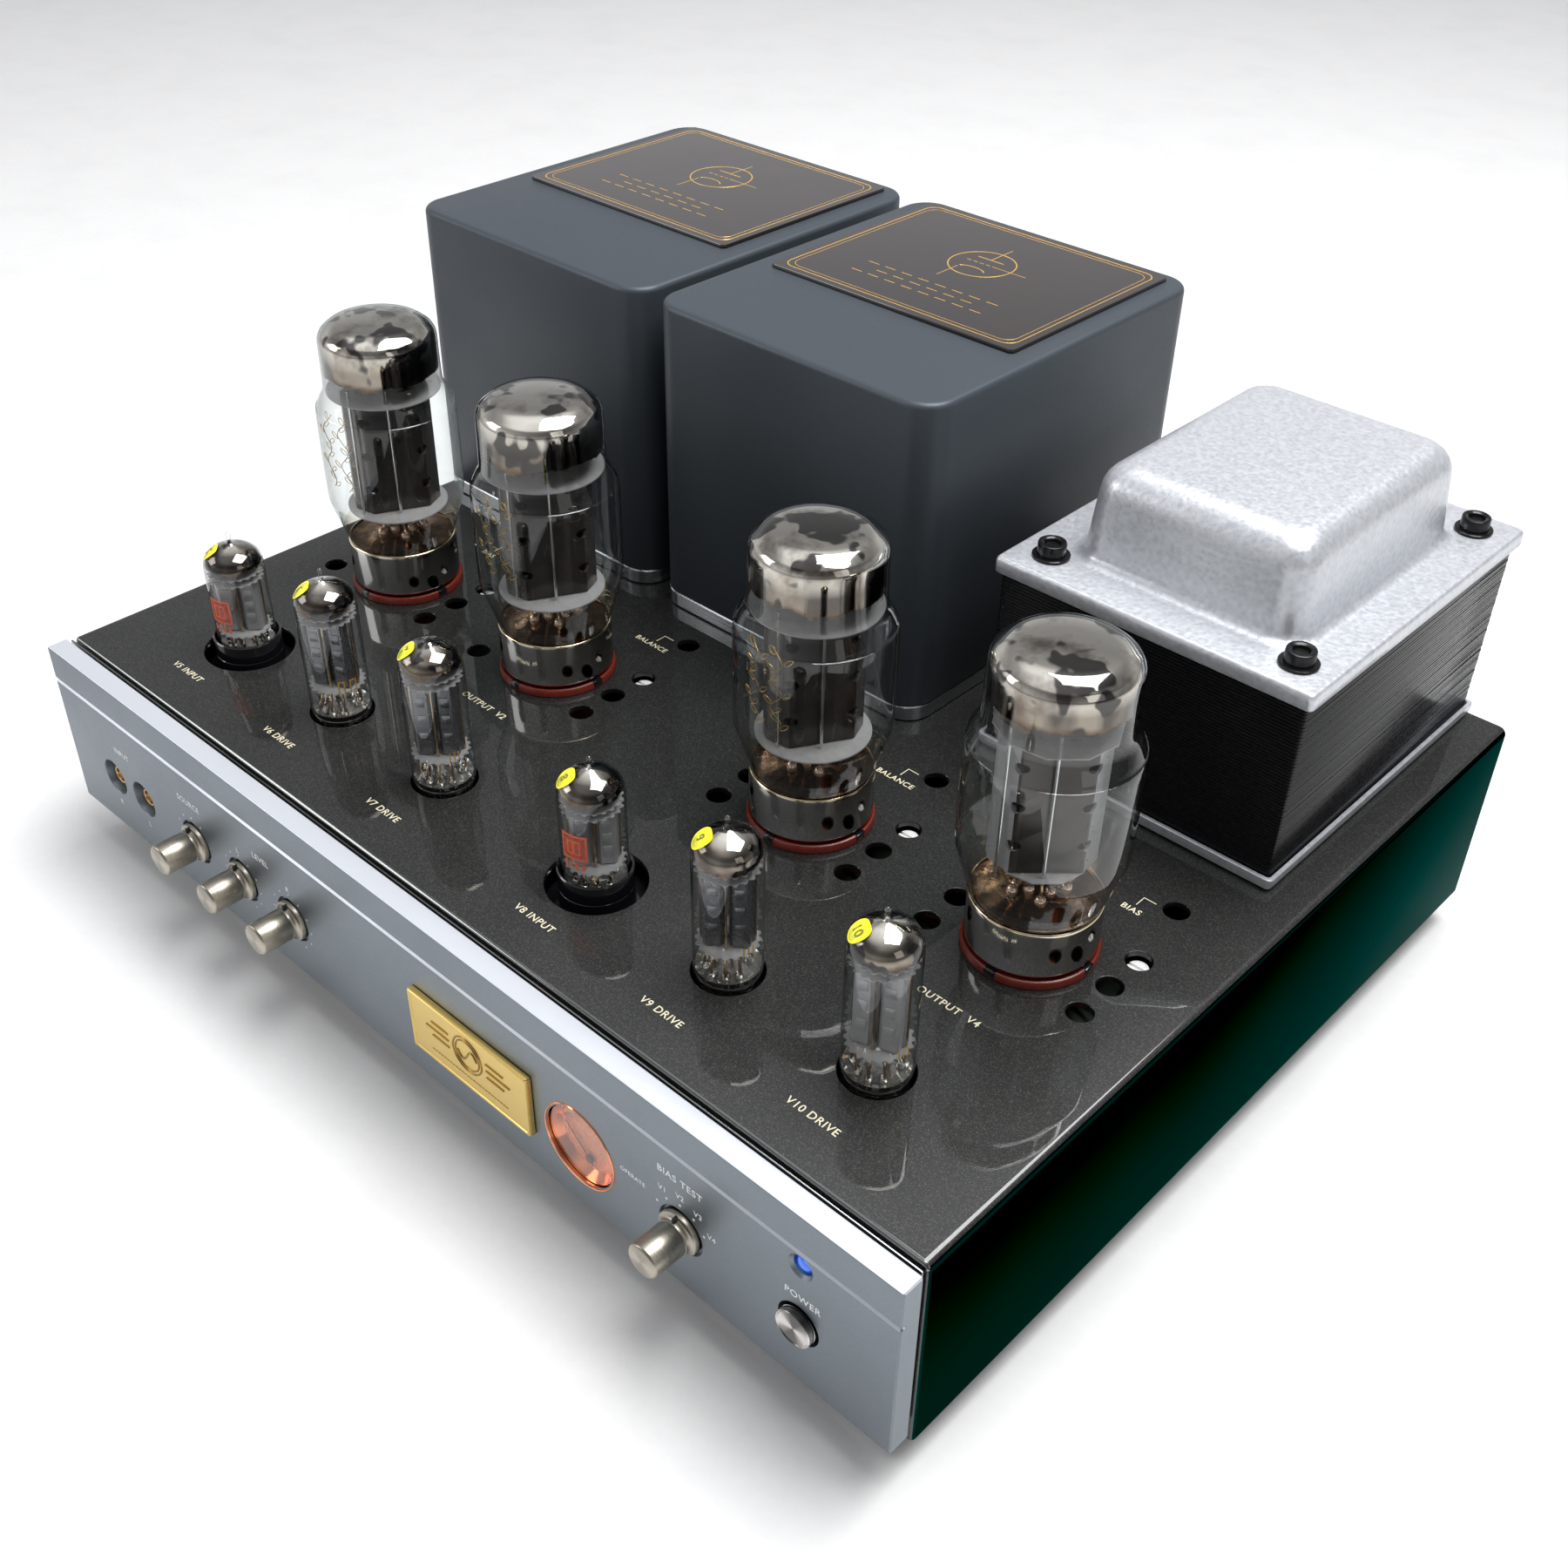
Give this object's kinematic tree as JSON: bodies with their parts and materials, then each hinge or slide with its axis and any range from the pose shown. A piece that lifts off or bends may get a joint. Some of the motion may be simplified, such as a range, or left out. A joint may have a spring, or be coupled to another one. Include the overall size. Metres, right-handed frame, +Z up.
{
  "type": "stereo tube amplifier",
  "caption": "Stereo tube amplifier: flat chassis with a thick grooved front panel, turned knobs and round meter, glass tubes on the deck, and boxed transformers behind.",
  "frame": {"origin": "middle of the footprint, on the surface that the feet stand on", "axes": "+X to the right of somebody facing the front panel, +Y to the back, +Z up"},
  "size_m": [0.43, 0.3778, 0.2177],
  "materials": {
    "anodised_panel": "satin blue-grey anodising",
    "gloss_black": "clear-coated black with a fine flake",
    "can_paint": "satin slate grey",
    "potted_core": "brushed where it shows below the can",
    "bright_steel": "bright",
    "silver_paint": "silver hammer finish",
    "lamination": "black varnished sheets",
    "name_plate": "gloss",
    "black_screw": "blackened",
    "chrome": "polished",
    "nickel": "turned, nickel plated",
    "glass": "clear",
    "phenolic": "red-brown moulding",
    "gold_plate": "polished",
    "brass": "satin",
    "copper": "polished copper tint",
    "blue_lamp": "gloss",
    "black_plastic": "matte",
    "board": "matte",
    "rubber": "matte"
  },
  "bodies": {
    "chassis": {"front_panel": "anodised_panel", "chassis_shell": "gloss_black", "front_wall": "gloss_black", "rear_panel": "gloss_black", "bottom_plate": "gloss_black", "foot_front_left": "rubber", "foot_front_right": "rubber", "foot_rear_left": "rubber", "foot_rear_right": "rubber", "output_can_left": "can_paint", "output_can_right": "can_paint", "output_core_left": "potted_core", "output_core_right": "potted_core", "output_plate_left": "name_plate", "output_plate_right": "name_plate", "mains_core": "lamination", "mains_bell": "silver_paint", "mains_tray": "silver_paint", "mains_bolt_1": "black_screw", "mains_bolt_2": "black_screw", "mains_bolt_3": "black_screw", "mains_bolt_4": "black_screw", "socket_carrier_left": "phenolic", "socket_carrier_right": "phenolic", "input_jacks": "gold_plate", "badge": "brass", "meter_bezel": "copper", "meter_body": "black_plastic", "power_lamp": "blue_lamp", "control_board": "black_plastic", "switch_board": "black_plastic", "circuit_board": "board", "speaker_terminals_left": "gold_plate", "speaker_terminals_right": "gold_plate", "line_inputs": "gold_plate", "mains_inlet": "black_plastic"},
    "knob_selector": {"knob_selector": "nickel"},
    "knob_level_left": {"knob_level_left": "nickel"},
    "knob_level_right": {"knob_level_right": "nickel"},
    "knob_bias_test": {"knob_bias_test": "nickel"},
    "power_button": {"power_button": "nickel"},
    "meter_needle": {"meter_needle": "black_plastic"},
    "trim_screw_1": {"trim_screw_1": "bright_steel"},
    "trim_screw_2": {"trim_screw_2": "bright_steel"},
    "trim_screw_3": {"trim_screw_3": "bright_steel"},
    "trim_screw_4": {"trim_screw_4": "bright_steel"},
    "power_tube_1": {"power_tube_base_1": "chrome", "power_tube_bulb_1": "glass"},
    "power_tube_2": {"power_tube_base_2": "chrome", "power_tube_bulb_2": "glass"},
    "power_tube_3": {"power_tube_base_3": "chrome", "power_tube_bulb_3": "glass"},
    "power_tube_4": {"power_tube_base_4": "chrome", "power_tube_bulb_4": "glass"},
    "small_tube_1": {"small_tube_1": "glass"},
    "small_tube_2": {"small_tube_2": "glass"},
    "small_tube_3": {"small_tube_3": "glass"},
    "small_tube_4": {"small_tube_4": "glass"},
    "small_tube_5": {"small_tube_5": "glass"},
    "small_tube_6": {"small_tube_6": "glass"}
  },
  "joints": [
    {"name": "selector_turn", "type": "hinge", "parent": "chassis", "child": "knob_selector", "pos_m": [-0.1257, -0.17285, 0.045], "axis": [0, 1, 0], "range_deg": [-60, 30]},
    {"name": "level_left_turn", "type": "hinge", "parent": "chassis", "child": "knob_level_left", "pos_m": [-0.0948, -0.17285, 0.045], "axis": [0, 1, 0], "range_deg": [-150, 150]},
    {"name": "level_right_turn", "type": "hinge", "parent": "chassis", "child": "knob_level_right", "pos_m": [-0.0638, -0.17285, 0.045], "axis": [0, 1, 0], "range_deg": [-150, 150]},
    {"name": "bias_test_turn", "type": "hinge", "parent": "chassis", "child": "knob_bias_test", "pos_m": [0.1328, -0.17285, 0.045], "axis": [0, 1, 0], "range_deg": [-60, 60]},
    {"name": "power_push", "type": "slide", "parent": "chassis", "child": "power_button", "axis": [0, 1, 0], "range_m": [0, 0.003], "stiffness_N_per_m": 250},
    {"name": "needle_swing", "type": "hinge", "parent": "chassis", "child": "meter_needle", "pos_m": [0.0883, -0.16935, 0.0377], "axis": [0, 1, 0], "range_deg": [0, 90], "stiffness_Nm_per_rad": 0.002},
    {"name": "trim_1_turn", "type": "hinge", "parent": "chassis", "child": "trim_screw_1", "pos_m": [-0.1284, -0.02785, 0.0883], "axis": [0, 0, 1], "range_deg": [-150, 150]},
    {"name": "trim_2_turn", "type": "hinge", "parent": "chassis", "child": "trim_screw_2", "pos_m": [-0.0356, -0.02785, 0.0883], "axis": [0, 0, 1], "range_deg": [-150, 150]},
    {"name": "trim_3_turn", "type": "hinge", "parent": "chassis", "child": "trim_screw_3", "pos_m": [0.0948, -0.02785, 0.0883], "axis": [0, 0, 1], "range_deg": [-150, 150]},
    {"name": "trim_4_turn", "type": "hinge", "parent": "chassis", "child": "trim_screw_4", "pos_m": [0.1876, -0.02785, 0.0883], "axis": [0, 0, 1], "range_deg": [-150, 150]},
    {"name": "power_tube_1_pull", "type": "slide", "parent": "chassis", "child": "power_tube_1", "axis": [0, 0, 1], "range_m": [0, 0.03]},
    {"name": "power_tube_2_pull", "type": "slide", "parent": "chassis", "child": "power_tube_2", "axis": [0, 0, 1], "range_m": [0, 0.03]},
    {"name": "power_tube_3_pull", "type": "slide", "parent": "chassis", "child": "power_tube_3", "axis": [0, 0, 1], "range_m": [0, 0.03]},
    {"name": "power_tube_4_pull", "type": "slide", "parent": "chassis", "child": "power_tube_4", "axis": [0, 0, 1], "range_m": [0, 0.03]},
    {"name": "small_tube_1_pull", "type": "slide", "parent": "chassis", "child": "small_tube_1", "axis": [0, 0, 1], "range_m": [0, 0.03]},
    {"name": "small_tube_2_pull", "type": "slide", "parent": "chassis", "child": "small_tube_2", "axis": [0, 0, 1], "range_m": [0, 0.03]},
    {"name": "small_tube_3_pull", "type": "slide", "parent": "chassis", "child": "small_tube_3", "axis": [0, 0, 1], "range_m": [0, 0.03]},
    {"name": "small_tube_4_pull", "type": "slide", "parent": "chassis", "child": "small_tube_4", "axis": [0, 0, 1], "range_m": [0, 0.03]},
    {"name": "small_tube_5_pull", "type": "slide", "parent": "chassis", "child": "small_tube_5", "axis": [0, 0, 1], "range_m": [0, 0.03]},
    {"name": "small_tube_6_pull", "type": "slide", "parent": "chassis", "child": "small_tube_6", "axis": [0, 0, 1], "range_m": [0, 0.03]}
  ]
}
